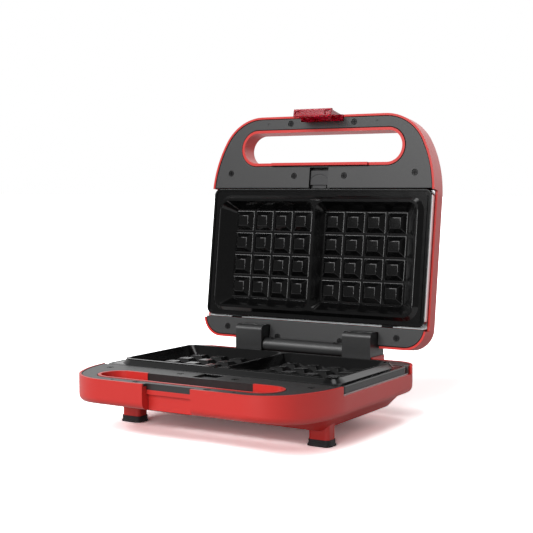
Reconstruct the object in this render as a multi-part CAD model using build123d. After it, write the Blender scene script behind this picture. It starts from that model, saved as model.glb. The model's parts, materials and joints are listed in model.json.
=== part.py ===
from build123d import *
import os
from math import asin, cos, degrees, radians, sin, tan

# Two-slice sandwich and waffle maker with lift-out plates, stored with its lid open.
# X runs along the hinge, -Y is the handle side, Z is up and the feet stand on Z = 0.
# The lid is built closed, as a mirror image of the base about the mid plane,
# and is then turned open about the hinge axis.

# Plan outline shared by both housing halves
half_width = 132.5
front_y = -120.3
rear_y = 120.3
front_straight = 73.8
front_corner_radius = 50.0
front_corner_turn = 62.0
rear_corner_radius = 23.0
wall = 2.2

# Heights of the base half
face_z = 56.4
side_drop = 8.6
band_height = 27.4
handle_thickness = 19.9
handle_rise = 5.0
handle_rise_y = -72.0
base_belly_z = 14.0
base_belly_slope = 44.0
belly_front_y = -62.5
belly_corner_radius = 28.0
belly_tuck = 5.0
lid_crown_depth = 8.0
lid_crown_slope = 50.0
band_edge_radius = 7.0
belly_edge_radius = 10.0

# Middle of the open machine from front to back, put at y = 0 when the pieces are written
middle_y = 33.0

# Hinge and closing
hinge_y = 125.5
mid_z = 61.0
open_angle = 97.36
barrel_radius = 8.0
barrel_half_length = 47.4
barrel_end_gap = 0.6
trough_gap = 1.4
hinge_pin_radius = 3.0
hinge_pin_length = 43.0
hinge_pin_grip = 25.0
running_clearance = 0.05
moving_clearance = 0.8

# Hinge towers on the base
tower_inner_x = 48.0
tower_outer_x = 80.0
tower_front_y = 116.0
tower_radius = 21.4
tower_foot_z = 50.0
tower_edge_radius = 5.0
tower_boss_wall = 1.6
tower_boss_top_z = 57.4
boss_root_z = 36.0
boss_tip_z = 46.0
boss_corner_radius = 4.0

# Side steps where the frame ends and the plate shows
side_step_front_y = -42.0
side_step_rear_y = 100.2

# Handle opening
opening_y = -86.3
opening_length = 189.0
opening_width = 33.0
opening_lining = 2.9
lip_half_length = 57.5
lip_height = 2.6
lining_cut_depth = 9.0
skirt_set_back = 0.7
opening_flare = 6.0

# Black covers
cover_thickness = 2.4
cover_drop = 0.3
cover_gap = 0.6
cover_edge_radius = 0.5
front_cover_rear_y = -43.0
rear_cover_front_y = 98.9
dimple_radius = 1.6
dimple_depth = 0.5
dimple_x = 65.1
dimple_y = -112.1

# Latch and the notches that it works in
notch_half_width = 25.6
notch_depth = 6.5
ledge_top_z = 50.5
ledge_bottom_z = 46.5
ledge_overhang = 2.8
notch_backing = 2.4
latch_thickness = 5.0
latch_half_width = 22.5
latch_root_half_width = 25.2
latch_pivot_z = 81.5
latch_pin_radius = 1.5
latch_rest_swing = 4.5
latch_root_z = 64.0
latch_rim = 1.6
latch_skin = 1.8
latch_edge_radius = 1.2
latch_hook_height = 3.6
latch_middle_half_width = 13.0
latch_nose_reach = 2.2
latch_lip_reach = 1.2
latch_gap = 0.3

# Plates
plate_half_width = 130.2
plate_front_y = -42.4
plate_rear_y = 96.7
plate_corner_radius = 8.0
plate_top_z = 56.2
plate_proud = 4.45
plate_thickness = 2.8
skirt_bottom_z = 49.2
skirt_thickness = 2.0
bead_width = 3.0
bead_edge_radius = 1.0
groove_width = 1.6
groove_depth = 0.9
crest_half_width = 118.0
crest_front_y = -29.9
crest_rear_y = 86.8
crest_corner_radius = 11.0
crest_slope_run = 4.8
crest_land = 1.6
divider_half_width = 1.2
pocket_depth = 11.45
pocket_outer_run = 13.2
pocket_inner_run = 6.0
pocket_end_run = 8.6
pocket_top_radius = 9.0
pocket_floor_radius = 4.0
peg_pitch = 24.0
peg_base = 21.0
peg_top = 11.0
peg_height = 5.0
peg_chamfer = 0.7
peg_count = 4
tab_inner_x = 84.0
tab_outer_x = 96.0
tab_reach = 1.7
tab_thickness = 2.8

# Trays under the plates
tray_thickness = 0.8
tray_floor_z = 37.0
tray_half_width = 124.0
tray_flange_z = 48.0
tray_gap = 0.3
tray_margin = 4.0
tray_corner_radius = 6.0
tray_posts = [(80.0, -8.0), (80.0, 64.0)]

# Heating elements
heater_radius = 3.3
heater_z = 43.0
heater_half_span = 95.0
heater_front_y = -14.0
heater_rear_y = 70.0
heater_lead_x = 30.0
heater_end_y = 102.0
heater_bend = 16.0
heater_pin_radius = 1.6
heater_pin_length = 6.0
clip_width = 10.0
clip_wall = 2.0

# Release buttons
button_half_width = 10.8
button_rear_y = -46.4
button_front_y = -62.0
button_top_drop = 2.2
button_height = 5.6
button_travel = 2.6
button_gap = 0.4
button_tongue_half_width = 8.0
button_tongue_height = 1.6
button_tongue_drop = 1.2
button_spring_z = 51.2
button_spring_radius = 1.4
button_spring_wire = 0.25
button_spring_turns = 4
button_bore_depth = 8.0
thumb_arc_y = -43.0
thumb_arc_radius = 15.0
thumb_arc_width = 1.0
thumb_arc_depth = 0.5
recess_wall = 1.6

# Screws
screw_head_radius = 2.9
screw_head_height = 1.2
screw_shank_radius = 1.3
screw_length = 8.0
screw_recess_radius = 3.4
screw_recess_depth = 1.5
screw_slot_width = 0.8
screw_slot_depth = 0.6
post_radius = 3.5
screw_gap = 0.1
front_screws = [(38.0, -112.4), (110.0, -59.0), (30.0, -56.0)]
rear_screws = [(101.0, 108.9), (37.3, 111.5)]
lid_rear_screws = [(101.0, 108.9), (37.3, 116.4)]

# Feet
foot_x = 104.0
foot_front_y = -29.0
rear_foot_x = 62.0
rear_foot_y = 104.0
foot_width = 21.0
foot_depth = 15.0
foot_corner = 4.0
foot_top_z = 24.0
pad_height = 6.0
pad_side = 0.8
pad_lip = 0.9
pad_lip_height = 1.6

# Electrical pieces
thermostat_radius = 8.0
thermostat_height = 6.0
fuse_radius = 2.0
fuse_length = 14.0
fuse_y = 50.0
terminal_half_width = 14.0
terminal_depth = 9.0
terminal_height = 10.0
terminal_hole_radius = 1.8
lead_radius = 1.1
lead_drop = 3.0
lead_reach = 4.0
lead_bend = 1.8
terminal_z = 32.0
terminal_y = 104.0
gland_x = -96.0
gland_bore_radius = 3.2
gland_radius = 5.0
gland_flange_radius = 6.4
gland_flange = 2.2
gland_length = 9.0
gland_z = 48.5
lamp_radius = 4.0
lamp_flange = 1.6
lamp_x = 14.0
lamp_y = -24.0
lamp_height = 1.2
lamp_board_thickness = 1.6
lamp_board_margin = 5.0

# Worked out from the values above
band_z = face_z - band_height
handle_z = face_z - handle_thickness
inner_x = half_width - wall
cut_z = face_z - side_drop
notch_y = front_y + notch_depth
flank_radius = (half_width - front_straight - front_corner_radius * sin(radians(front_corner_turn))) / (
    1 - sin(radians(front_corner_turn)))
crest_z = face_z + plate_proud
floor_z = crest_z - pocket_depth
cover_z = face_z - cover_drop
cover_under_z = cover_z - cover_thickness
opening_rear_y = opening_y + opening_width / 2 + opening_lining
latch_pivot_y = notch_y - latch_gap - latch_thickness / 2
button_top_z = cover_z - button_top_drop
button_stop_y = button_front_y - button_travel - latch_gap
lid_belly_z = band_z - lid_crown_depth


def block(x, y, z):
    """Box between pairs of limits."""
    centre = Pos((x[0] + x[1]) / 2, (y[0] + y[1]) / 2, (z[0] + z[1]) / 2)
    return centre * Box(x[1] - x[0], y[1] - y[0], z[1] - z[0])


def rod_x(radius, x, y, z):
    """Cylinder along X between two x values."""
    return Pos((x[0] + x[1]) / 2, y, z) * Rot(0, 90, 0) * Cylinder(radius, x[1] - x[0])


def rod_y(radius, x, y, z):
    """Cylinder along Y between two y values."""
    return Pos(x, (y[0] + y[1]) / 2, z) * Rot(90, 0, 0) * Cylinder(radius, y[1] - y[0])


def rod_z(radius, x, y, z):
    """Cylinder along Z between two z values."""
    return Pos(x, y, (z[0] + z[1]) / 2) * Cylinder(radius, z[1] - z[0])


def both_sides(shape):
    """The shape and its mirror image across the middle."""
    return shape + mirror(shape, Plane.YZ)


def rounded_slab(x_half, y, radius, z):
    """Slab with rounded corners, centred on x = 0."""
    face = Pos(0, (y[0] + y[1]) / 2, z[0]) * RectangleRounded(2 * x_half, y[1] - y[0], radius)
    return extrude(face, z[1] - z[0])


def rounded_frustum(*sections):
    """Tapered block through rounded rectangles, each (x limits, y limits, radius, z)."""
    faces = []
    for x, y, radius, z in sections:
        face = RectangleRounded(x[1] - x[0], y[1] - y[0], radius)
        faces.append(Pos((x[0] + x[1]) / 2, (y[0] + y[1]) / 2, z) * face)
    return loft(faces)


def square_frustum(x, y, low, high):
    """Tapered square block about (x, y), between two (side, z) pairs."""
    faces = [Pos(x, y, z) * Rectangle(side, side) for side, z in (low, high)]
    return loft(faces)


def edges_at(shape, z, tolerance=0.01):
    """Edges that lie wholly at one height."""
    found = []
    for edge in shape.edges():
        box = edge.bounding_box()
        if abs(box.min.Z - z) < tolerance and abs(box.max.Z - z) < tolerance:
            found.append(edge)
    return found


def turn(centre, radius, degrees):
    """Point on a circle, measured from straight down towards +X."""
    angle = radians(degrees)
    return (centre[0] + radius * sin(angle), centre[1] - radius * cos(angle))


def outline(inset=0.0):
    """Plan face of a housing half: straight front, big front corners, bowed flanks."""
    corner = (front_straight, front_y + front_corner_radius)
    join = turn(corner, front_corner_radius, front_corner_turn)
    away = turn((0, 0), flank_radius, front_corner_turn)
    flank = (join[0] - away[0], join[1] - away[1])
    rear = (half_width - rear_corner_radius, rear_y - rear_corner_radius)
    r1 = front_corner_radius - inset
    r2 = flank_radius - inset
    r3 = rear_corner_radius - inset
    turn_1 = front_corner_turn
    half = Curve() + [
        Line((0, front_y + inset), turn(corner, r1, 0)),
        ThreePointArc(turn(corner, r1, 0), turn(corner, r1, turn_1 / 2), turn(corner, r1, turn_1)),
        ThreePointArc(turn(flank, r2, turn_1), turn(flank, r2, (turn_1 + 90) / 2), turn(flank, r2, 90)),
        Line(turn(flank, r2, 90), turn(rear, r3, 90)),
        ThreePointArc(turn(rear, r3, 90), turn(rear, r3, 135), turn(rear, r3, 180)),
        Line(turn(rear, r3, 180), (0, rear_y - inset)),
    ]
    return make_face(half + mirror(half, Plane.YZ))


def belly_section(z, slope, inset):
    """Rounded rectangle of the tapered belly at one height."""
    top_z = band_z + band_edge_radius * (1 - sin(radians(slope)))
    edge = band_edge_radius * (1 - cos(radians(slope)))
    shrink = (top_z - z) * tan(radians(slope)) + inset / cos(radians(slope)) + belly_tuck
    x_half = half_width - edge - shrink
    y_limits = (belly_front_y + shrink, rear_y - edge - shrink)
    return ((-x_half, x_half), y_limits, max(belly_corner_radius - shrink, 3.0), z)


def under_handle(inset):
    """Room under the handle, where the band's underside curves up to the front."""
    run = handle_rise_y - front_y
    radius = (run ** 2 + handle_rise ** 2) / (2 * handle_rise)
    centre = (handle_rise_y, band_z + radius)
    reach = 1.15 * degrees(asin(run / radius))
    start, middle, end = [turn(centre, radius - inset, -angle) for angle in (0, reach / 2, reach)]
    low_z = band_z - 1
    path = Curve() + [
        ThreePointArc(start, middle, end),
        Polyline(end, (end[0], low_z), (start[0], low_z), start),
    ]
    face = Plane(origin=(-half_width - 1, 0, 0), x_dir=(0, 1, 0), z_dir=(1, 0, 0)) * make_face(path)
    return extrude(face, 2 * half_width + 2)


def lower_edges(band):
    """Outer edges round the underside of the band, without the seam where it starts to curve."""
    found = []
    for edge in band.edges():
        box = edge.bounding_box()
        seam = box.size.Y < 0.01 and abs(box.min.Y - handle_rise_y) < 0.01
        if box.max.Z < band_z + band_height / 2 and not seam:
            found.append(edge)
    return found


def housing_solid(flat_z, slope, inset=0.0):
    """Solid of a housing half out to one inset: upright band and tapered belly."""
    band = extrude(Pos(0, 0, band_z + inset) * outline(inset), band_height - inset)
    band = band - under_handle(inset)
    radius = band_edge_radius - inset
    band = fillet(lower_edges(band), radius)
    top_z = band_z + band_edge_radius - radius * sin(radians(slope))
    low = belly_section(flat_z + inset, slope, inset)
    belly = rounded_frustum(low, belly_section(top_z, slope, inset))
    belly = fillet(edges_at(belly, flat_z + inset), belly_edge_radius - inset)
    return band + belly


def opening_prism(grow, z):
    """Stadium prism of the handle opening, grown by a margin."""
    face = Pos(0, opening_y, z[0]) * SlotOverall(opening_length + 2 * grow, opening_width + 2 * grow)
    return extrude(face, z[1] - z[0])


def opening_tunnel(grow):
    """Space of the handle opening, which flares towards the underside of the handle."""
    low_z = band_z - 1
    faces = [Pos(0, opening_y, z) * SlotOverall(opening_length + 2 * side, opening_width + 2 * side)
             for side, z in ((grow + opening_flare, low_z), (grow, handle_z))]
    return opening_prism(grow, (handle_z, face_z)) + loft(faces)


def screw_posts(places, solid, top_z, radius):
    """Posts that rise from the inside of a housing solid."""
    posts = [rod_z(radius, sx * x, y, (0, top_z)) for x, y in places for sx in (-1, 1)]
    return [post & solid for post in posts]


def notch_block(grow, y_deep, z):
    """Block at the handle's front edge, as wide as the latch notch and a margin."""
    half = notch_half_width + grow
    return block((-half, half), (front_y - 5, y_deep), z)


def housing(flat_z, slope, inner_screws):
    """Moulded red half: walls, lined handle opening, side steps, notch and screw posts."""
    outer = housing_solid(flat_z, slope)
    shell = outer - housing_solid(flat_z, slope, wall)
    backing = notch_block(notch_backing, notch_y + ledge_overhang + notch_backing, (band_z, cover_under_z))
    shell = shell + (backing & outer) + (opening_tunnel(opening_lining) & outer)
    shell = shell - opening_tunnel(0)
    places = front_screws + inner_screws
    for post in screw_posts(places, outer, cover_under_z, post_radius):
        shell = shell + post
    for post in screw_posts(tray_posts, outer, tray_floor_z, post_radius):
        shell = shell + post
    hole_z = (cover_under_z - screw_length, face_z)
    for x, y in places:
        for side in (-1, 1):
            shell = shell - rod_z(screw_shank_radius + screw_gap, side * x, y, hole_z)
    step = (side_step_front_y, side_step_rear_y)
    shell = shell - block((-half_width - 1, half_width + 1), step, (cut_z, face_z + 1))
    return shell - notch_block(0, notch_y, (band_z - 1, face_z + 1))


def tower_shape(x):
    """Hinge tower: a drum about the hinge axis with a flat front and a square foot."""
    radius = tower_radius
    drum = rod_x(radius, x, hinge_y, mid_z)
    foot = block(x, (tower_front_y, hinge_y + radius), (tower_foot_z, mid_z))
    front = block((x[0] - 1, x[1] + 1), (hinge_y - 2 * radius, tower_front_y), (0, 2 * mid_z))
    tower = drum - block((x[0] - 1, x[1] + 1), (0, 200), (0, mid_z)) + foot - front
    ridge = [e for e in tower.edges() if e.bounding_box().max.Y < tower_front_y + 0.01
             and e.bounding_box().min.Z > mid_z + tower_edge_radius]
    return fillet(ridge, tower_edge_radius)


def tower_boss():
    """Red boss on the rear wall that wraps the foot of one tower."""
    back_y = hinge_y + tower_radius + tower_boss_wall
    points = [(rear_y - wall, boss_root_z), (rear_y, boss_root_z), (back_y, boss_tip_z),
              (back_y, tower_boss_top_z), (rear_y - wall, tower_boss_top_z)]
    profile = make_face(Polyline(points, close=True))
    x = (tower_inner_x - tower_boss_wall, tower_outer_x + tower_boss_wall)
    face = Plane(origin=(x[0], 0, 0), x_dir=(0, 1, 0), z_dir=(1, 0, 0)) * profile
    boss = extrude(face, x[1] - x[0])
    corners = boss.edges().filter_by(Axis.Z).group_by(Axis.Y)[-1]
    return fillet(corners, boss_corner_radius)


def foot_stub(x, y):
    """Red foot leg that the rubber pad caps."""
    face = Pos(x, y, pad_height) * RectangleRounded(foot_width, foot_depth, foot_corner)
    return extrude(face, foot_top_z - pad_height)


def trough(grow):
    """Clearance round the lid's hinge barrel."""
    half = barrel_half_length + barrel_end_gap
    return rod_x(barrel_radius + grow, (-half, half), hinge_y, mid_z)


def base_shell():
    """Lower red housing with its feet, hinge bosses and latch ledge."""
    solid = housing_solid(base_belly_z, base_belly_slope)
    shell = housing(base_belly_z, base_belly_slope, rear_screws)
    inner = housing_solid(base_belly_z, base_belly_slope, wall)
    stubs = foot_stub(foot_x, foot_front_y) + foot_stub(rear_foot_x, rear_foot_y)
    shell = shell + both_sides(stubs - inner)
    pedestal = block((-terminal_half_width + 2, terminal_half_width - 2),
                     (terminal_y - 4, terminal_y + 4), (0, terminal_z)) & solid
    shell = shell + both_sides(tower_boss()) + pedestal
    tower_x = (tower_inner_x, tower_outer_x)
    pocket = block(tower_x, (tower_front_y - 1, hinge_y + tower_radius), (tower_foot_z, mid_z))
    shell = shell - both_sides(pocket) - trough(trough_gap)
    hook_room = notch_block(0, notch_y + ledge_overhang, (band_z - 1, ledge_bottom_z))
    skirt_room = block((-notch_half_width, notch_half_width), (notch_y - 1, notch_y + notch_backing),
                       (ledge_top_z, face_z + 1))
    cut = block((-lip_half_length, lip_half_length), (opening_y, opening_rear_y + 0.1),
                (face_z - lining_cut_depth, face_z + 1))
    shell = shell - hook_room - skirt_room - cut
    return shell - rod_y(gland_radius, gland_x, (rear_y - 5, rear_y + 5), gland_z)


def screw_cuts(places):
    """Holes and sunk seats for the cover screws."""
    cuts = []
    for x, y in places:
        for side in (-1, 1):
            seat_z = cover_z - screw_recess_depth
            hole = rod_z(screw_shank_radius + screw_gap, side * x, y, (cover_under_z - 1, cover_z))
            cuts.append(hole + rod_z(screw_recess_radius, side * x, y, (seat_z, cover_z + 12)))
    return cuts


def button_pocket(grow, z):
    """Space for the release button, grown sideways and forwards."""
    half = button_half_width + button_gap + grow
    y = (button_stop_y - grow, front_cover_rear_y + 1)
    return block((-half, half), y, z)


def front_cover(with_skirts):
    """Black frame of the handle half, with the button pocket under it."""
    cover = extrude(Pos(0, 0, cover_under_z) * outline(wall + cover_gap), cover_thickness)
    cover = cover & block((-half_width, half_width), (front_y, front_cover_rear_y), (0, mid_z))
    cover = cover - opening_prism(opening_lining + cover_gap, (0, mid_z))
    cover = cover - notch_block(0, notch_y, (0, mid_z))
    cover = fillet(edges_at(cover, cover_z), cover_edge_radius)
    pocket_z = button_top_z - button_height - latch_gap
    box = button_pocket(recess_wall, (pocket_z - recess_wall, cover_under_z))
    box = box & block((-half_width, half_width), (front_y, front_cover_rear_y), (0, mid_z))
    cover = cover + box
    if with_skirts:
        cover = cover + lining_skirt() + notch_skirt()
    cover = cover - button_pocket(0, (pocket_z, mid_z))
    seat = block((-button_half_width, button_half_width), (button_rear_y + latch_gap, front_cover_rear_y),
                 (pocket_z, button_top_z - button_tongue_drop - button_tongue_height - latch_gap))
    cover = cover + seat
    for cut in screw_cuts(front_screws):
        cover = cover - cut
    for side in (-1, 1):
        cover = cover - rod_z(dimple_radius, side * dimple_x, dimple_y, (cover_z - dimple_depth, mid_z))
    return cover


def lining_skirt():
    """Strip of the base cover that shows inside the handle opening."""
    y = (opening_rear_y - opening_lining + skirt_set_back, opening_rear_y + 2 * cover_gap)
    z = (face_z - lining_cut_depth + latch_gap, cover_z)
    half = lip_half_length - latch_gap
    return block((-half, half), y, z)


def notch_skirt():
    """Strip of the base cover above the latch ledge."""
    half = notch_half_width - cover_gap
    return block((-half, half), (notch_y, notch_y + notch_backing), (ledge_top_z, cover_z))


def rear_plate():
    """Black hinge-side cover plate shared by both halves."""
    cover = extrude(Pos(0, 0, cover_under_z) * outline(wall + cover_gap), cover_thickness)
    cover = cover & block((-half_width, half_width), (rear_cover_front_y, rear_y), (0, mid_z))
    return fillet(edges_at(cover, cover_z), cover_edge_radius)


def base_rear_cover():
    """Hinge-side cover of the base with its two towers."""
    cover = rear_plate() - trough(trough_gap)
    tower = tower_shape((tower_inner_x, tower_outer_x))
    hole = rod_x(hinge_pin_radius + running_clearance / 2,
                 (tower_inner_x - 1, tower_inner_x + hinge_pin_grip), hinge_y, mid_z)
    cover = cover + both_sides(tower)
    cover = cover - both_sides(hole)
    for cut in screw_cuts(rear_screws):
        cover = cover - cut
    return cover


def slot_liner():
    """Curved liner of one tower slot in the lid, in base coordinates."""
    x_in = (tower_inner_x - moving_clearance, tower_outer_x + moving_clearance)
    x_out = (x_in[0] - recess_wall, x_in[1] + recess_wall)
    radius = tower_radius + moving_clearance
    outer = rod_x(radius + recess_wall, x_out, hinge_y, mid_z)
    room = block(x_out, (hinge_y - 2 * radius, rear_y - wall), (0, cover_under_z + 0.1))
    return outer & room


def slot_room(grow=0.0):
    """Space that one tower sweeps inside the lid, in base coordinates."""
    x = (tower_inner_x - moving_clearance - grow, tower_outer_x + moving_clearance + grow)
    return rod_x(tower_radius + moving_clearance + grow, x, hinge_y, mid_z)


def lid_rear_cover():
    """Hinge-side cover of the lid with its barrel and the tower slots, in base coordinates."""
    cover = rear_plate()
    bridge_y = (rear_y - tower_radius / 2, hinge_y)
    bridge = block((-barrel_half_length, barrel_half_length), bridge_y, (cover_under_z, cover_z))
    barrel = rod_x(barrel_radius, (-barrel_half_length, barrel_half_length), hinge_y, mid_z)
    cover = cover + both_sides(slot_liner()) + bridge + barrel
    bore_x = (tower_inner_x - hinge_pin_length + hinge_pin_grip - latch_gap, tower_inner_x)
    bore = rod_x(hinge_pin_radius + running_clearance, bore_x, hinge_y, mid_z)
    cover = cover - both_sides(slot_room()) - both_sides(bore)
    for cut in screw_cuts(lid_rear_screws):
        cover = cover - cut
    return cover


def lid_shell():
    """Upper red housing with its lip, latch notch and lamp holes, in base coordinates."""
    shell = housing(lid_belly_z, lid_crown_slope, lid_rear_screws)
    shell = shell - both_sides(slot_room(recess_wall + tray_gap))
    bridge_room = block((-barrel_half_length - cover_gap, barrel_half_length + cover_gap),
                        (rear_y - wall - 1, rear_y + 1), (cover_under_z - cover_gap, face_z + 1))
    shell = shell - bridge_room - trough(cover_gap)
    lip = block((-lip_half_length, lip_half_length), (opening_rear_y - opening_lining, opening_rear_y),
                (face_z - 1, face_z + lip_height))
    shell = shell + lip
    pivot_z = 2 * mid_z - latch_pivot_z
    half = notch_half_width + notch_backing
    shell = shell - rod_x(latch_pin_radius + running_clearance / 2, (-half, half), latch_pivot_y, pivot_z)
    lamp_z = (0, lid_belly_z + 2 * wall)
    for side in (-1, 1):
        shell = shell - rod_z(lamp_radius + running_clearance, side * lamp_x, lamp_y, lamp_z)
    return shell


def pocket_sections(grow):
    """Top and floor sections of one baking pocket, grown outwards and downwards."""
    x_top = (divider_half_width - grow, crest_half_width - crest_land + grow)
    x_floor = (x_top[0] + pocket_inner_run, x_top[1] - pocket_outer_run)
    y_top = (crest_front_y + crest_land - grow, crest_rear_y - crest_land + grow)
    y_floor = (y_top[0] + pocket_end_run, y_top[1] - pocket_end_run)
    top = (x_top, y_top, pocket_top_radius + grow, crest_z + (0 if grow else 0.01))
    return top, (x_floor, y_floor, pocket_floor_radius + grow, floor_z - grow)


def pegs():
    """Rows of tapered pegs that mould the squares of a waffle in one pocket."""
    sections = pocket_sections(0)[1]
    x_mid = (sections[0][0] + sections[0][1]) / 2
    y_mid = (sections[1][0] + sections[1][1]) / 2
    top_z = floor_z + peg_height
    shoulder = peg_top + 2 * peg_chamfer
    made = []
    for i in range(peg_count):
        for j in range(peg_count):
            x = x_mid + (i - (peg_count - 1) / 2) * peg_pitch
            y = y_mid + (j - (peg_count - 1) / 2) * peg_pitch
            low = square_frustum(x, y, (peg_base, floor_z - 0.1), (shoulder, top_z - peg_chamfer))
            high = square_frustum(x, y, (shoulder, top_z - peg_chamfer), (peg_top, top_z))
            made.append(low + high)
    return made


def plate():
    """Cast waffle plate: flange with skirt and bead, raised crest, two pegged pockets."""
    y = (plate_front_y, plate_rear_y)
    top = plate_top_z
    flange = rounded_slab(plate_half_width, y, plate_corner_radius, (skirt_bottom_z, top))
    flange = fillet(edges_at(flange, top), bead_edge_radius)
    inset = skirt_thickness
    under = rounded_slab(plate_half_width - inset, (y[0] + inset, y[1] - inset), plate_corner_radius - inset,
                         (skirt_bottom_z - 1, top - plate_thickness))
    body = flange - under - plate_groove()
    run = crest_slope_run
    foot = ((-crest_half_width - run, crest_half_width + run), (crest_front_y - run, crest_rear_y + run),
            crest_corner_radius + run, top - 0.1)
    crest_x = (-crest_half_width, crest_half_width)
    crest = (crest_x, (crest_front_y, crest_rear_y), crest_corner_radius, crest_z)
    body = body + rounded_frustum(foot, crest)
    body = body - crest_hollow()
    pan = rounded_frustum(*pocket_sections(plate_thickness))
    pocket = rounded_frustum(*pocket_sections(0))
    body = body + both_sides(pan & block(crest_x, y, (0, crest_z)))
    body = body - both_sides(pocket)
    for peg in pegs():
        body = body + both_sides(peg)
    tab = block((tab_inner_x, tab_outer_x), (plate_rear_y - 1, plate_rear_y + tab_reach),
                (top - tab_thickness - 0.2, top - 0.2))
    return body + both_sides(tab)


def plate_groove():
    """Shallow groove just inside the flange's bead."""
    outer = bead_width
    inner = bead_width + groove_width
    z = (plate_top_z - groove_depth, plate_top_z + 1)
    y = (plate_front_y, plate_rear_y)
    ring = rounded_slab(plate_half_width - outer, (y[0] + outer, y[1] - outer),
                        plate_corner_radius - outer, z)
    return ring - rounded_slab(plate_half_width - inner, (y[0] + inner, y[1] - inner),
                               plate_corner_radius - inner, z)


def crest_hollow():
    """Hollow under the raised crest, one casting thickness inside it."""
    t = plate_thickness
    run = crest_slope_run
    half = crest_half_width
    y = (crest_front_y, crest_rear_y)
    foot = ((-half - run + t, half + run - t), (y[0] - run + t, y[1] + run - t), crest_corner_radius,
            plate_top_z - t - 0.1)
    crest = ((-half + t, half - t), (y[0] + t, y[1] - t), crest_corner_radius - t, crest_z - t)
    return rounded_frustum(foot, crest)


def tray():
    """Aluminium reflector tray: pan, flange and the upstand behind the plate."""
    t = tray_thickness
    y = (plate_front_y + tray_margin, plate_rear_y - tray_margin)
    top = tray_flange_z + t
    pan = rounded_slab(tray_half_width, y, tray_corner_radius, (tray_floor_z, top))
    room_y = (y[0] + t, y[1] - t)
    room = rounded_slab(tray_half_width - t, room_y, tray_corner_radius - t, (tray_floor_z + t, top + 1))
    back_y = plate_rear_y + tab_reach
    flange_y = (side_step_front_y + tray_gap, back_y)
    flange = rounded_slab(inner_x - tray_gap, flange_y, 2 * t, (tray_flange_z, top))
    half = inner_x - 2 * tray_gap
    upstand = block((-half, half), (back_y - t, back_y), (tray_flange_z, plate_top_z))
    notch = block((tab_inner_x - cover_gap, tab_outer_x + cover_gap), (back_y - 2 * t, back_y + t),
                  (plate_top_z - tab_thickness - 0.2 - latch_gap, face_z))
    made = pan + flange + upstand - room - both_sides(notch)
    for side in (-1, 1):
        made = made - rod_y(heater_radius + latch_gap, side * heater_lead_x, (y[1] - 5, y[1] + 1), heater_z)
    return made


def heater():
    """Tubular element: one bent tube with a contact pin in each end."""
    span = heater_half_span
    lead = heater_lead_x
    z = heater_z
    corners = [(lead, heater_end_y, z), (lead, heater_rear_y, z), (span, heater_rear_y, z),
               (span, heater_front_y, z), (-span, heater_front_y, z), (-span, heater_rear_y, z),
               (-lead, heater_rear_y, z), (-lead, heater_end_y, z)]
    path = FilletPolyline(*corners, radius=heater_bend)
    start = Plane(origin=path @ 0, z_dir=path % 0)
    tube = sweep(start * Circle(heater_radius), path=path)
    pin = rod_y(heater_pin_radius, lead, (heater_end_y - 1, heater_end_y + heater_pin_length), z)
    return tube + both_sides(pin)


def heater_clips():
    """Saddles that carry the element on the tray floor."""
    low = tray_floor_z + tray_thickness
    high = heater_z + clip_wall / 2
    reach = heater_radius + clip_wall
    half = clip_width / 2
    y_mid = (heater_front_y + heater_rear_y) / 2
    x = heater_half_span
    side = block((x - reach, x + reach), (y_mid - half, y_mid + half), (low, high))
    side = side - rod_y(heater_radius, x, (y_mid - clip_width, y_mid + clip_width), heater_z)
    front = block((-half, half), (heater_front_y - reach, heater_front_y + reach), (low, high))
    front = front - rod_x(heater_radius, (-clip_width, clip_width), heater_front_y, heater_z)
    return [side, mirror(side, Plane.YZ), front]


def release_button():
    """Sliding release button with a thumb arc, finger ribs and a catch tongue."""
    z = (button_top_z - button_height, button_top_z)
    body = block((-button_half_width, button_half_width), (button_front_y, button_rear_y), z)
    body = fillet(edges_at(body, button_top_z), cover_edge_radius)
    tongue_z = z[1] - button_tongue_drop
    tongue = block((-button_tongue_half_width, button_tongue_half_width),
                   (button_rear_y - 1, plate_front_y - cover_gap), (tongue_z - button_tongue_height, tongue_z))
    body = body + tongue
    arc_z = (z[1] - thumb_arc_depth, z[1] + 1)
    arc_x = (-button_half_width + thumb_arc_width, button_half_width - thumb_arc_width)
    ring = rod_z(thumb_arc_radius, 0, thumb_arc_y, arc_z)
    ring = ring - rod_z(thumb_arc_radius - thumb_arc_width, 0, thumb_arc_y, arc_z)
    ring = ring & block(arc_x, (button_front_y, thumb_arc_y + 2 * thumb_arc_width), arc_z)
    bore = rod_y(button_spring_radius + button_spring_wire + 0.15, 0,
                 (button_front_y - 1, button_front_y + button_bore_depth), button_spring_z)
    return body - ring - bore


def button_spring():
    """Light coil spring between the cover and the button."""
    start_y = button_stop_y + button_spring_wire
    length = button_front_y + button_bore_depth - start_y - button_spring_wire
    coil = Helix(length / button_spring_turns, length, button_spring_radius)
    wire = sweep(Plane(origin=coil @ 0, z_dir=coil % 0) * Circle(button_spring_wire), path=coil)
    return Pos(0, start_y, button_spring_z) * Rot(-90, 0, 0) * wire


def screw(x, y):
    """Pan-head cover screw with a cross slot."""
    seat_z = cover_z - screw_recess_depth
    top_z = seat_z + screw_head_height
    shape = rod_z(screw_head_radius, x, y, (seat_z, top_z))
    shape = shape + rod_z(screw_shank_radius, x, y, (cover_under_z - screw_length + 1, seat_z))
    arm = screw_head_radius * 0.7
    half = screw_slot_width / 2
    slot_z = (top_z - screw_slot_depth, top_z + 1)
    cross = block((x - arm, x + arm), (y - half, y + half), slot_z)
    cross = cross + block((x - half, x + half), (y - arm, y + arm), slot_z)
    return shape - cross


def screws(places):
    """All cover screws at mirrored places."""
    return [screw(side * x, y) for x, y in places for side in (-1, 1)]


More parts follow.
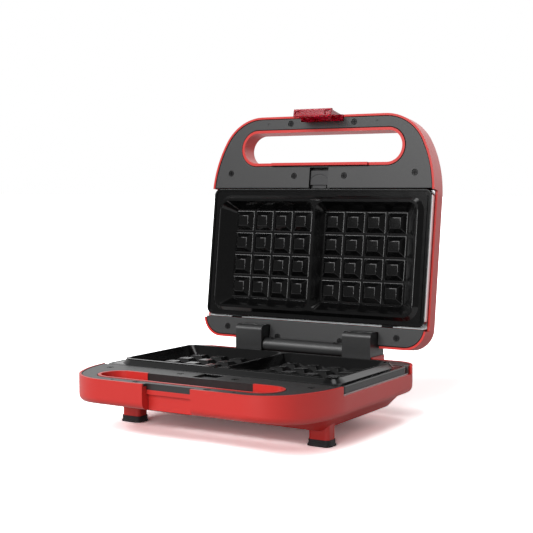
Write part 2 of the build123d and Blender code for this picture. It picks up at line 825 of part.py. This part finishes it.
def foot_pad(x, y):
    """Rubber cap of one foot, with a lip at the table."""
    width = foot_width + 2 * pad_side
    depth = foot_depth + 2 * pad_side
    body = extrude(Pos(x, y, 0) * RectangleRounded(width, depth, foot_corner + pad_side), pad_height)
    lip = extrude(Pos(x, y, 0) * RectangleRounded(width + 2 * pad_lip, depth + 2 * pad_lip,
                                                  foot_corner + pad_side + pad_lip), pad_lip_height)
    groove = extrude(Pos(x, y, pad_height * 0.55) * RectangleRounded(width + 2, depth + 2, foot_corner), 0.6)
    groove = groove - extrude(Pos(x, y, 0) * RectangleRounded(width - 1, depth - 1, foot_corner), pad_height)
    return body + lip - groove


def latch_closed():
    """Latch in its locked place, with the lid closed."""
    inner_y = notch_y - latch_gap
    outer_y = inner_y - latch_thickness
    tip_z = ledge_bottom_z - latch_gap - latch_hook_height
    blade = block((-latch_half_width, latch_half_width), (outer_y, inner_y), (tip_z, latch_pivot_z))
    root = block((-latch_root_half_width, latch_root_half_width), (outer_y, inner_y),
                 (latch_root_z, latch_pivot_z))
    blade = blade + root + rod_x(latch_thickness / 2, (-latch_root_half_width, latch_root_half_width),
                                 latch_pivot_y, latch_pivot_z)
    lip_y = (outer_y - latch_lip_reach, inner_y + latch_nose_reach)
    lip_z = (tip_z, tip_z + latch_hook_height)
    lip = block((-latch_half_width, latch_half_width), lip_y, lip_z)
    blade = fillet(edges_at(blade + lip, tip_z), latch_edge_radius)
    side_x = (latch_middle_half_width + latch_rim, latch_half_width - latch_rim)
    window = block(side_x, (outer_y + latch_skin, inner_y + 1), (lip_z[1] + latch_rim, latch_root_z + 2))
    recess = block(side_x, (lip_y[0] + latch_skin, lip_y[1] - latch_skin), (tip_z - 1, lip_z[1] - latch_rim))
    middle = block((-latch_middle_half_width + latch_rim, latch_middle_half_width - latch_rim),
                   (outer_y + latch_skin, inner_y + 1), (lip_z[1] + latch_rim, latch_pivot_z - latch_thickness))
    bore = rod_x(latch_pin_radius + running_clearance, (-notch_half_width, notch_half_width),
                 latch_pivot_y, latch_pivot_z)
    return blade - both_sides(window + recess) - middle - bore


def turned(shape, degrees, y, z):
    """The shape turned outwards about an axis along X."""
    return Pos(0, y, z) * Rot(-degrees, 0, 0) * Pos(0, -y, -z) * shape


def in_lid(shape):
    """Move a shape from base coordinates to its place in the open lid."""
    flipped = mirror(shape, Plane.XY.offset(mid_z))
    return turned(flipped, open_angle, hinge_y, mid_z)


def opened(shape):
    """Turn a shape built in the closed lid to the stored open angle."""
    return turned(shape, open_angle, hinge_y, mid_z)


def thermostat():
    """Bimetal thermostat on the tray floor."""
    low = tray_floor_z + tray_thickness
    y = (heater_front_y + heater_rear_y) / 2
    can = rod_z(thermostat_radius, 0, y, (low, low + thermostat_height))
    flange = rod_z(thermostat_radius + 2, 0, y, (low, low + 1.2))
    return can + flange


def thermal_fuse():
    """Sleeved thermal fuse against the underside of the tray."""
    return rod_x(fuse_radius, (-fuse_length / 2, fuse_length / 2), fuse_y, tray_floor_z - fuse_radius)


def terminal_block():
    """Terminal block on its pedestal at the back of the base."""
    half = terminal_half_width
    depth = terminal_depth / 2
    top_z = terminal_z + terminal_height
    body = block((-half, half), (terminal_y - depth, terminal_y + depth), (terminal_z, top_z))
    for x in (-half / 2, 0, half / 2):
        body = body - rod_z(terminal_hole_radius, x, terminal_y, (top_z - terminal_height / 2, top_z + 1))
    return body


def base_leads():
    """Stiff leads from the element's pins to the terminal block."""
    z = heater_z
    pin_y = heater_end_y + heater_pin_length
    block_z = terminal_z + terminal_height - lead_drop
    turn_y = pin_y + lead_reach
    near_x = terminal_half_width + 1.5 * lead_reach
    points = [(heater_lead_x, pin_y, z), (heater_lead_x, turn_y, z), (near_x, turn_y, block_z),
              (near_x, terminal_y, block_z), (terminal_half_width, terminal_y, block_z)]
    path = FilletPolyline(*points, radius=lead_bend)
    lead = sweep(Plane(origin=path @ 0, z_dir=path % 0) * Circle(lead_radius), path=path)
    return [lead, mirror(lead, Plane.YZ)]


def cord_gland():
    """Plugged cord gland in the rear wall; the cord itself is not part of the model."""
    body = rod_y(gland_radius - running_clearance, gland_x, (rear_y - 2 * wall, rear_y), gland_z)
    flange = rod_y(gland_flange_radius, gland_x, (rear_y, rear_y + gland_flange), gland_z)
    start = Plane(origin=(gland_x, rear_y + gland_flange, gland_z), z_dir=(0, 1, 0))
    sleeve = extrude(start * Circle(gland_radius - 0.8), gland_length, taper=6)
    bore = rod_y(gland_bore_radius, gland_x, (rear_y + 2, rear_y + gland_flange + gland_length + 1), gland_z)
    return body + flange + sleeve - bore


def lamp(side):
    """Indicator lens in the lid's crown, in base coordinates."""
    x = side * lamp_x
    lens = rod_z(lamp_radius, x, lamp_y, (lid_belly_z - lamp_height, lid_belly_z + wall))
    lens = fillet(edges_at(lens, lid_belly_z - lamp_height), lamp_height * 0.8)
    return lens + rod_z(lamp_radius + 1.4, x, lamp_y, (lid_belly_z + wall, lid_belly_z + wall + lamp_flange))


def lamp_board():
    """Board behind the two lenses, in base coordinates."""
    z = lid_belly_z + wall + lamp_flange
    x_half = lamp_x + lamp_radius + lamp_board_margin
    y_half = lamp_radius + 2
    return block((-x_half, x_half), (lamp_y - y_half, lamp_y + y_half), (z, z + lamp_board_thickness))


def hinge_pin(side):
    """Steel pin pressed into one tower and running in the barrel."""
    far = tower_inner_x + hinge_pin_grip
    pin = rod_x(hinge_pin_radius, (far - hinge_pin_length, far), hinge_y, mid_z)
    return pin if side > 0 else mirror(pin, Plane.YZ)


def latch_pin():
    """Pin of the latch, in the closed lid."""
    half = notch_half_width + notch_backing
    return rod_x(latch_pin_radius, (-half, half), latch_pivot_y, latch_pivot_z)


def write(name, *shapes):
    """Write one node about the machine's middle; several solids become one compound."""
    placed = [Pos(0, -middle_y, 0) * shape for shape in shapes]
    whole = placed[0] if len(placed) == 1 else Compound(children=[Part() + shape for shape in placed])
    export_step(whole, f"parts/{name}.step")


def write_base():
    """Write every piece that stays with the base."""
    write("base_shell", base_shell())
    write("base_front_cover", front_cover(True))
    write("base_rear_cover", base_rear_cover())
    write("base_tray", tray())
    write("base_heater", heater())
    write("base_heater_clips", *heater_clips())
    write("base_plate", plate())
    write("base_release_button", release_button())
    write("base_button_spring", button_spring())
    write("base_front_screws", *screws(front_screws))
    write("base_rear_screws", *screws(rear_screws))
    write("thermostat", thermostat())
    write("thermal_fuse", thermal_fuse())
    write("terminal_block", terminal_block())
    write("base_leads", *base_leads())
    write("cord_gland", cord_gland())
    for name, side in (("left", -1), ("right", 1)):
        write(f"hinge_pin_{name}", hinge_pin(side))
        write(f"foot_pad_front_{name}", foot_pad(side * foot_x, foot_front_y))
        write(f"foot_pad_rear_{name}", foot_pad(side * rear_foot_x, rear_foot_y))


def write_lid():
    """Write every piece that moves with the lid, turned open."""
    write("lid_shell", in_lid(lid_shell()))
    write("lid_front_cover", in_lid(front_cover(False)))
    write("lid_rear_cover", in_lid(lid_rear_cover()))
    write("lid_tray", in_lid(tray()))
    write("lid_heater", in_lid(heater()))
    write("lid_heater_clips", *[in_lid(clip) for clip in heater_clips()])
    write("lid_plate", in_lid(plate()))
    write("lid_release_button", in_lid(release_button()))
    write("lid_button_spring", in_lid(button_spring()))
    write("lid_front_screws", *[in_lid(s) for s in screws(front_screws)])
    write("lid_rear_screws", *[in_lid(s) for s in screws(lid_rear_screws)])
    write("power_lamp", in_lid(lamp(-1)))
    write("ready_lamp", in_lid(lamp(1)))
    write("lamp_board", in_lid(lamp_board()))
    write("latch", opened(turned(latch_closed(), latch_rest_swing, latch_pivot_y, latch_pivot_z)))
    write("latch_pin", opened(latch_pin()))


if __name__ == "__main__":
    os.makedirs("parts", exist_ok=True)
    write_base()
    write_lid()
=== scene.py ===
import json
from math import cos, radians, sin

import bmesh
import bpy
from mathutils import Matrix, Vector

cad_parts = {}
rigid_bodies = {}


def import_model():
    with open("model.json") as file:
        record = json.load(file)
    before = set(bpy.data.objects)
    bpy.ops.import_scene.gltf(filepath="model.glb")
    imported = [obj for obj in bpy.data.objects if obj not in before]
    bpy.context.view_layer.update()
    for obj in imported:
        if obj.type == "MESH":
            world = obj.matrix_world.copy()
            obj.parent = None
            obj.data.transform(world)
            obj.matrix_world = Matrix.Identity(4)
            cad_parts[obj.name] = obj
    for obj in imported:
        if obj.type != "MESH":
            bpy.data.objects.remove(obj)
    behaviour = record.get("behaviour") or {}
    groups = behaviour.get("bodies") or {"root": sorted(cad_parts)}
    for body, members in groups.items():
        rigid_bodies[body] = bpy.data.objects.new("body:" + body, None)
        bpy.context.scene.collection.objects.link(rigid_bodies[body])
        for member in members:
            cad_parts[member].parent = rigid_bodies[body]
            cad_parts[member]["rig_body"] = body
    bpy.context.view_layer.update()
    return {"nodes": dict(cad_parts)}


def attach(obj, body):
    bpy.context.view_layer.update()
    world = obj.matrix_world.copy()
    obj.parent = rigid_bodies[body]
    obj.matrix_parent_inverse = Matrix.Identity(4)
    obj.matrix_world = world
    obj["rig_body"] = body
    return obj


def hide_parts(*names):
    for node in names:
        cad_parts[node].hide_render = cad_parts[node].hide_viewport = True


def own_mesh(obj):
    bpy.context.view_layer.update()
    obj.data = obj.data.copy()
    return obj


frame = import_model()


# The housings are two halves of glossy red plastic, moulded with a very fine
# skin on the outside. Their rims catch the light where the covers sit inside
# them. The solids are finished here with softened edges.
RIM_RADIUS = 0.00035
SMOOTH_ANGLE = radians(32)
SHORT_EDGE = 0.004
MERGE_REACH = 0.000002
FLAT_ANGLE = radians(0.3)
RED = (0.67, 0.032, 0.026)
# How far the painted shade in the red's gaps and creases reaches.
PAINTED_SHADE_REACH = 0.0022


def feed(tree, socket, value):
    """Link a socket to what another node gives, or set it to a plain value."""
    if isinstance(value, Value):
        value = value.source
    if isinstance(value, bpy.types.NodeSocket):
        tree.links.new(value, socket)
    else:
        socket.default_value = value


class Value:
    """What a node gives, so that shader maths reads as sums."""

    def __init__(self, tree, source):
        self.tree = tree
        self.source = source

    def maths(self, operation, *values):
        node = self.tree.nodes.new("ShaderNodeMath")
        node.operation = operation
        for socket, value in zip(node.inputs, values):
            feed(self.tree, socket, value)
        return Value(self.tree, node.outputs[0])

    def __add__(self, other):
        return self.maths("ADD", self, other)

    def __mul__(self, other):
        return self.maths("MULTIPLY", self, other)

    def between(self, low, high):
        """The value, mapped from 0..1 to low..high."""
        return self * (high - low) + low


class Finish:
    """One material and the nodes that make it."""

    def __init__(self, name, **sockets):
        self.material = bpy.data.materials.new(name)
        self.material.use_nodes = True
        self.tree = self.material.node_tree
        self.shader = self.tree.nodes["Principled BSDF"]
        for label, value in sockets.items():
            self.set(label.replace("_", " "), value)

    def set(self, label, value):
        feed(self.tree, self.shader.inputs[label], value)

    def node(self, kind, settings=None, output=0, **inputs):
        """A node by type, its settings first and then its sockets; gives one output."""
        made = self.tree.nodes.new("ShaderNode" + kind)
        for key, value in (settings or {}).items():
            setattr(made, key, value)
        for key, value in inputs.items():
            feed(self.tree, made.inputs[key.replace("_", " ")], value)
        return made.outputs[output]

    def place(self):
        return self.node("TexCoord", output=3)

    def noise(self, scale, detail=2.0, roughness=0.5):
        made = self.node("TexNoise", Vector=self.place(), Scale=scale, Detail=detail, Roughness=roughness)
        return Value(self.tree, made)

    def mixed(self, factor, first, second):
        """The first colour where the factor is 0, and the second where it is 1."""
        made = self.tree.nodes.new("ShaderNodeMix")
        made.data_type = "RGBA"
        feed(self.tree, made.inputs[0], factor)
        for socket, colour in ((made.inputs[6], first), (made.inputs[7], second)):
            feed(self.tree, socket, (*colour, 1.0) if isinstance(colour, tuple) else colour)
        return made.outputs[2]

    def painted_shade_mask(self, reach, low=0.35, high=0.75):
        """Mask for painted shade from ambient occlusion: 0 deep in a gap, where the colour is painted dark,
        and 1 on open faces.
        """
        sky = self.node("AmbientOcclusion", {"samples": 12}, 1, Distance=reach)
        share = self.node("MapRange", None, 0, Value=sky, From_Min=low, From_Max=high)
        return Value(self.tree, share)

    def bump(self, height, depth, strength=1.0):
        normal = self.node("Bump", Height=height, Distance=depth, Strength=strength)
        self.set("Normal", normal)

    def on(self, obj):
        obj.data.materials.clear()
        obj.data.materials.append(self.material)


def darker(colour, share):
    return tuple(channel * share for channel in colour)


def weigh_edges(mesh, lowest, highest):
    """Mark for the bevel the longer edges whose faces turn by between two angles."""
    loose = bmesh.new()
    loose.from_mesh(mesh)
    weight = loose.edges.layers.float.new("bevel_weight_edge")
    for edge in loose.edges:
        turns = edge.is_manifold and lowest < edge.calc_face_angle() < highest
        if turns and edge.calc_length() > SHORT_EDGE:
            edge[weight] = 1.0
    loose.to_mesh(mesh)
    loose.free()


def finished(node, name, radius=0.0, sharpest=None):
    """A merged copy of a solid with softened edges, standing for the solid."""
    source = frame["nodes"][node]
    mesh = source.data.copy()
    mesh.name = name
    piece = bpy.data.objects.new(name, mesh)
    bpy.context.scene.collection.objects.link(piece)
    bpy.ops.object.select_all(action="DESELECT")
    bpy.context.view_layer.objects.active = piece
    piece.select_set(True)
    bpy.ops.object.mode_set(mode="EDIT")
    bpy.ops.mesh.select_all(action="SELECT")
    bpy.ops.mesh.remove_doubles(threshold=MERGE_REACH)
    bpy.ops.mesh.customdata_custom_splitnormals_clear()
    bpy.ops.mesh.dissolve_limited(angle_limit=FLAT_ANGLE)
    bpy.ops.object.mode_set(mode="OBJECT")
    if radius:
        bevel = piece.modifiers.new("Soft edges", "BEVEL")
        bevel.width = radius
        bevel.segments = 2
        bevel.angle_limit = SMOOTH_ANGLE
        if sharpest:
            weigh_edges(mesh, SMOOTH_ANGLE, sharpest)
            bevel.limit_method = "WEIGHT"
            bevel.use_clamp_overlap = False
        bpy.ops.object.modifier_apply(modifier=bevel.name)
    bpy.ops.object.shade_smooth_by_angle(angle=SMOOTH_ANGLE)
    even = piece.modifiers.new("Flat faces", "WEIGHTED_NORMAL")
    even.keep_sharp = True
    even.weight = 100
    bpy.ops.object.modifier_apply(modifier=even.name)
    piece.select_set(False)
    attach(piece, source["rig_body"])
    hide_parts(node)
    return piece


red = Finish("Red moulded plastic", Roughness=0.36, IOR=1.5)
tint = red.noise(14.0, 3.0)
skin = red.mixed(tint, darker(RED, 0.96), darker(RED, 1.04))
# Painted shade: the red goes to a quarter of its colour in gaps and creases, such as round the covers, from
# ambient occlusion.
red.set("Base Color", red.mixed(red.painted_shade_mask(PAINTED_SHADE_REACH), darker(RED, 0.25), skin))
red.set("Roughness", red.noise(60.0).between(0.33, 0.40))
red.bump(red.noise(2600.0, 2.0), 0.00001, 0.25)
for half in ("base", "lid"):
    red.on(finished(half + "_shell", half + "_housing", RIM_RADIUS))


# The covers are screwed-in frames of black glass-filled nylon, with a fine
# spark-eroded texture. The hinge towers belong to the lower rear one.
COVER_EDGE = 0.0003
COVER_GREY = (0.008, 0.008, 0.0085)

cover = Finish("Satin black nylon", Roughness=0.42, IOR=1.5, Specular_IOR_Level=0.8)
mottle = cover.noise(22.0, 4.0)
skin = cover.mixed(mottle, darker(COVER_GREY, 0.85), darker(COVER_GREY, 1.2))
# Painted shade: the grey goes almost black in gaps, under the rims and round the screw recesses, from
# ambient occlusion.
cover.set("Base Color", cover.mixed(cover.painted_shade_mask(0.003, 0.5, 0.9), darker(COVER_GREY, 0.05), skin))
cover.set("Roughness", cover.noise(300.0, 3.0).between(0.36, 0.48))
cover.bump(cover.noise(3200.0, 2.0), 0.00002, 0.5)
for half in ("base", "lid"):
    for place in ("front", "rear"):
        cover.on(finished(f"{half}_{place}_cover", f"{half}_{place}_frame", COVER_EDGE))


# The waffle plates are cast aluminium with a black non-stick coating, glossy
# enough to show the light along every rib. Each lifts out of its half. Beside
# the upper one the bare side of the casting shows.
PLATE_EDGE = 0.0007
PEG_ANGLE = radians(62)
SKIRT_OUT = 0.12995


def coating_finish(name, bare_side):
    """Black coating, with bright metal on the outer sides of the skirt if wanted."""
    coating = Finish(name, Roughness=0.15, IOR=1.5, Specular_IOR_Level=0.4)
    flow = coating.noise(30.0, 3.0)
    black = coating.mixed(flow, (0.0015, 0.0015, 0.0016), (0.003, 0.003, 0.0032))
    gloss = coating.noise(120.0).between(0.12, 0.18)
    coating.bump(coating.noise(900.0, 3.0), 0.00003, 0.04)
    if bare_side:
        across = Value(coating.tree, coating.node("SeparateXYZ", Vector=coating.place()))
        bare = across.maths("GREATER_THAN", across.maths("ABSOLUTE", across), SKIRT_OUT)
        black = coating.mixed(bare, black, (0.82, 0.82, 0.83))
        coating.set("Metallic", bare * 0.8)
        gloss = gloss + bare * 0.2
    coating.set("Base Color", black)
    coating.set("Roughness", gloss)
    return coating


for half in ("base", "lid"):
    coating = coating_finish(f"Black non-stick coating, {half}", half == "lid")
    coating.on(finished(half + "_plate", half + "_waffle_plate", PLATE_EDGE, PEG_ANGLE))


# The reflector trays are pressed from bright aluminium sheet. Only their rims
# show, beside and behind the plates.
tray = Finish("Bright aluminium sheet", Metallic=1.0, Roughness=0.3)
tray.set("Base Color", tray.mixed(tray.noise(40.0, 3.0), (0.50, 0.50, 0.51), (0.62, 0.62, 0.62)))
tray.set("Roughness", tray.noise(200.0, 3.0).between(0.22, 0.4))
for half in ("base", "lid"):
    tray.on(frame["nodes"][half + "_tray"])


# The release buttons slide in pockets beside the plates, and have a moulded
# thumb arc in a rougher field.
BUTTON_EDGE = 0.0002

button = Finish("Grained black button", Roughness=0.5, IOR=1.5)
grain = button.noise(900.0, 4.0, 0.6)
button.set("Base Color", button.mixed(grain, (0.016, 0.016, 0.017), (0.05, 0.05, 0.052)))
button.set("Roughness", button.noise(700.0).between(0.4, 0.6))
button.bump(grain, 0.00012, 0.6)
for half in ("base", "lid"):
    button.on(finished(half + "_release_button", half + "_catch_button", BUTTON_EDGE))


# Behind each button a light coil of blackened spring steel pushes it to the
# plate. One end stands on the cover, the other in the button, so on the machine
# a press shortens it; here each coil gets a mesh of its own and keeps one length.
LID_LEAN = radians(7.36)
TOWARDS_COVER = {"base": (0, -1, 0), "lid": (0, sin(LID_LEAN), cos(LID_LEAN))}

spring_steel = Finish("Blackened spring steel", Metallic=0.8, Roughness=0.45)
tone = spring_steel.noise(250.0, 3.0)
spring_steel.set("Base Color", spring_steel.mixed(tone, (0.02, 0.02, 0.02), (0.05, 0.05, 0.05)))
for half, direction in TOWARDS_COVER.items():
    coil = finished(half + "_button_spring", half + "_coil_spring")
    spring_steel.on(coil)
    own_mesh(coil)


# The latch is moulded in clear crimson plastic and swings on a steel pin in
# the top of the lid's handle.
LATCH_EDGE = 0.0004

latch = Finish("Clear crimson plastic", Roughness=0.16, IOR=1.49)
latch.set("Base Color", latch.mixed(latch.noise(80.0), (0.55, 0.006, 0.03), (0.68, 0.010, 0.045)))
latch.set("Transmission Weight", 0.6)
latch.on(finished("latch", "latch_blade", LATCH_EDGE))


# The screws are black zinc-plated steel with cross slots.
SCREW_EDGE = 0.0003
SLOT_ANGLE = radians(95)

screw = Finish("Black zinc screw", Metallic=0.7, Roughness=0.3)
plating = screw.mixed(screw.noise(900.0), (0.010, 0.010, 0.010), (0.035, 0.035, 0.036))
# Painted shade: the plating goes black where the head sits deep in its recess and in the slots, giving a
# dark ring round each head.
screw.set("Base Color", screw.mixed(screw.painted_shade_mask(0.002, 0.5, 0.95), (0.001, 0.001, 0.001), plating))
screw.set("Roughness", screw.noise(1500.0).between(0.24, 0.36))
for half in ("base", "lid"):
    for place in ("front", "rear"):
        screw.on(finished(f"{half}_{place}_screws", f"{half}_{place}_cross_screws", SCREW_EDGE, SLOT_ANGLE))


# The foot pads are black rubber caps pushed over the red legs.
PAD_EDGE = 0.0004

rubber = Finish("Black rubber", Roughness=0.62, IOR=1.5)
bloom = rubber.noise(120.0, 4.0)
rubber.set("Base Color", rubber.mixed(bloom, (0.012, 0.012, 0.013), (0.03, 0.03, 0.032)))
rubber.set("Roughness", rubber.noise(500.0).between(0.5, 0.72))
rubber.bump(rubber.noise(1800.0), 0.00004, 0.4)
for place in ("front_left", "front_right", "rear_left", "rear_right"):
    rubber.on(finished("foot_pad_" + place, "foot_cap_" + place, PAD_EDGE))
rubber.on(frame["nodes"]["cord_gland"])


# Inside the halves are the tubular elements, their saddles, the thermostat,
# the fuse, the terminals and leads, and the pins that carry the lid and latch.
def plain_finish(name, low, high, metal, rough, *nodes):
    """A mottled finish for small inner pieces."""
    finish = Finish(name, Metallic=metal, Roughness=rough)
    finish.set("Base Color", finish.mixed(finish.noise(250.0, 3.0), low, high))
    finish.set("Roughness", finish.noise(600.0).between(rough * 0.8, rough * 1.25))
    for node in nodes:
        finish.on(frame["nodes"][node])


plain_finish("Heat-tinted steel tube", (0.14, 0.12, 0.11), (0.30, 0.27, 0.24), 0.9, 0.4,
             "base_heater", "lid_heater")
plain_finish("Zinc-plated steel", (0.50, 0.50, 0.51), (0.66, 0.66, 0.66), 1.0, 0.35,
             "base_heater_clips", "lid_heater_clips", "hinge_pin_left", "hinge_pin_right",
             "latch_pin", "thermostat")
plain_finish("Glass sleeve and nylon", (0.70, 0.68, 0.62), (0.82, 0.80, 0.75), 0.0, 0.6,
             "thermal_fuse", "terminal_block", "base_leads")
plain_finish("Solder mask", (0.02, 0.10, 0.04), (0.03, 0.14, 0.06), 0.0, 0.4, "lamp_board")


# Two small lenses in the lid's crown glow red and green when the machine works.
def lens_finish(name, colour, node):
    """Clear tinted plastic on one lens."""
    finish = Finish(name, Roughness=0.15, IOR=1.49, Transmission_Weight=0.3)
    finish.set("Base Color", finish.mixed(finish.noise(300.0), darker(colour, 0.85), colour))
    finish.on(frame["nodes"][node])


lens_finish("Clear red lens", (0.55, 0.02, 0.015), "power_lamp")
lens_finish("Clear green lens", (0.03, 0.35, 0.08), "ready_lamp")


# The machine stands on a plain white table before a plain white backdrop. One
# broad lamp lights it from the front, and weaker ones from above, the right and
# behind. Two narrow ones draw the light lines along the plates.
FLOOR_SIZE = 60.0
FLOOR_WHITE = 0.38
FLOOR_SEEN = 2.5
FLOOR_MIRRORED = 0.9
SURROUND = 0.20
BACKDROP_TOWARDS = (-0.52, 0.85, 0.0)
BACKDROP_SHARPNESS = 3.0
CAMERA_PLACE = (0.58274, -0.94523, 0.22668)
CAMERA_AZIMUTH = 31.26
CAMERA_PITCH = 3.88
FOCAL_PIXELS = 1146.31
PICTURE_PIXELS = 533
SENSOR = 36.0


def sun(name, direction, angle, strength):
    """A broad, even light from far away in one direction."""
    data = bpy.data.lights.new(name, "SUN")
    data.energy = strength
    data.angle = radians(angle)
    obj = bpy.data.objects.new(name, data)
    bpy.context.scene.collection.objects.link(obj)
    obj.location = Vector(direction) * 2
    obj.rotation_euler = Vector(direction).to_track_quat("Z", "Y").to_euler()


def make_floor():
    """White table top that keeps the machine's shadow."""
    bpy.ops.object.select_all(action="DESELECT")
    bpy.ops.mesh.primitive_plane_add(size=FLOOR_SIZE, location=(0, 0, 0))
    floor = bpy.context.object
    floor.name = "floor"
    material = bpy.data.materials.new("White table")
    material.use_nodes = True
    shader = material.node_tree.nodes["Principled BSDF"]
    shader.inputs["Roughness"].default_value = 1.0
    shader.inputs["Specular IOR Level"].default_value = 0.0
    tree = material.node_tree
    path = tree.nodes.new("ShaderNodeLightPath")
    mirrored = Value(tree, path.outputs["Is Glossy Ray"])
    mirrored = mirrored.maths("MAXIMUM", mirrored, path.outputs["Is Transmission Ray"])
    shade = Value(tree, path.outputs["Is Camera Ray"]).between(FLOOR_WHITE, FLOOR_SEEN)
    shade = shade + mirrored * (FLOOR_MIRRORED - FLOOR_WHITE)
    feed(tree, shader.inputs["Base Color"], shade)
    floor.data.materials.append(material)


def make_world():
    """Dim surround with a white backdrop behind the machine, and plain white to the camera."""
    world = bpy.data.worlds.new("Studio")
    bpy.context.scene.world = world
    world.use_nodes = True
    tree = world.node_tree
    background = tree.nodes["Background"]
    background.inputs["Color"].default_value = (1, 1, 1, 1)
    path = tree.nodes.new("ShaderNodeLightPath")
    place = tree.nodes.new("ShaderNodeTexCoord")
    facing = tree.nodes.new("ShaderNodeVectorMath")
    facing.operation = "DOT_PRODUCT"
    feed(tree, facing.inputs[0], place.outputs["Generated"])
    feed(tree, facing.inputs[1], BACKDROP_TOWARDS)
    backdrop = Value(tree, facing.outputs["Value"]) * BACKDROP_SHARPNESS
    backdrop = backdrop.maths("MINIMUM", backdrop.maths("MAXIMUM", backdrop, 0.0), 1.0)
    shown = Value(tree, path.outputs["Is Glossy Ray"])
    shown = shown.maths("MAXIMUM", shown, path.outputs["Is Transmission Ray"]) * backdrop
    shown = shown.maths("MAXIMUM", shown, path.outputs["Is Camera Ray"])
    feed(tree, background.inputs["Strength"], shown.between(SURROUND, 1))


make_floor()
make_world()
sun("Front", (-0.14, -0.88, 0.58), 44, 1.9)
sun("Above", (0.17, 0.10, 0.97), 20, 0.35)
sun("Right", (0.78, 0.60, 0.30), 50, 0.2)
sun("Back", (0.20, 0.90, 0.50), 60, 0.5)
sun("Right strip", (0.15, -0.97, 0.17), 10, 0.45)
sun("Left strip", (-0.52, -0.62, 0.58), 10, 0.45)

camera_data = bpy.data.cameras.new("Camera")
camera_data.sensor_width = SENSOR
camera_data.lens = SENSOR * FOCAL_PIXELS / PICTURE_PIXELS
camera_data.clip_start = 0.01
camera = bpy.data.objects.new("Camera", camera_data)
bpy.context.scene.collection.objects.link(camera)
camera.location = CAMERA_PLACE
camera.rotation_euler = (radians(90 - CAMERA_PITCH), 0, radians(CAMERA_AZIMUTH))
bpy.context.scene.camera = camera
bpy.context.scene.view_settings.view_transform = "Standard"
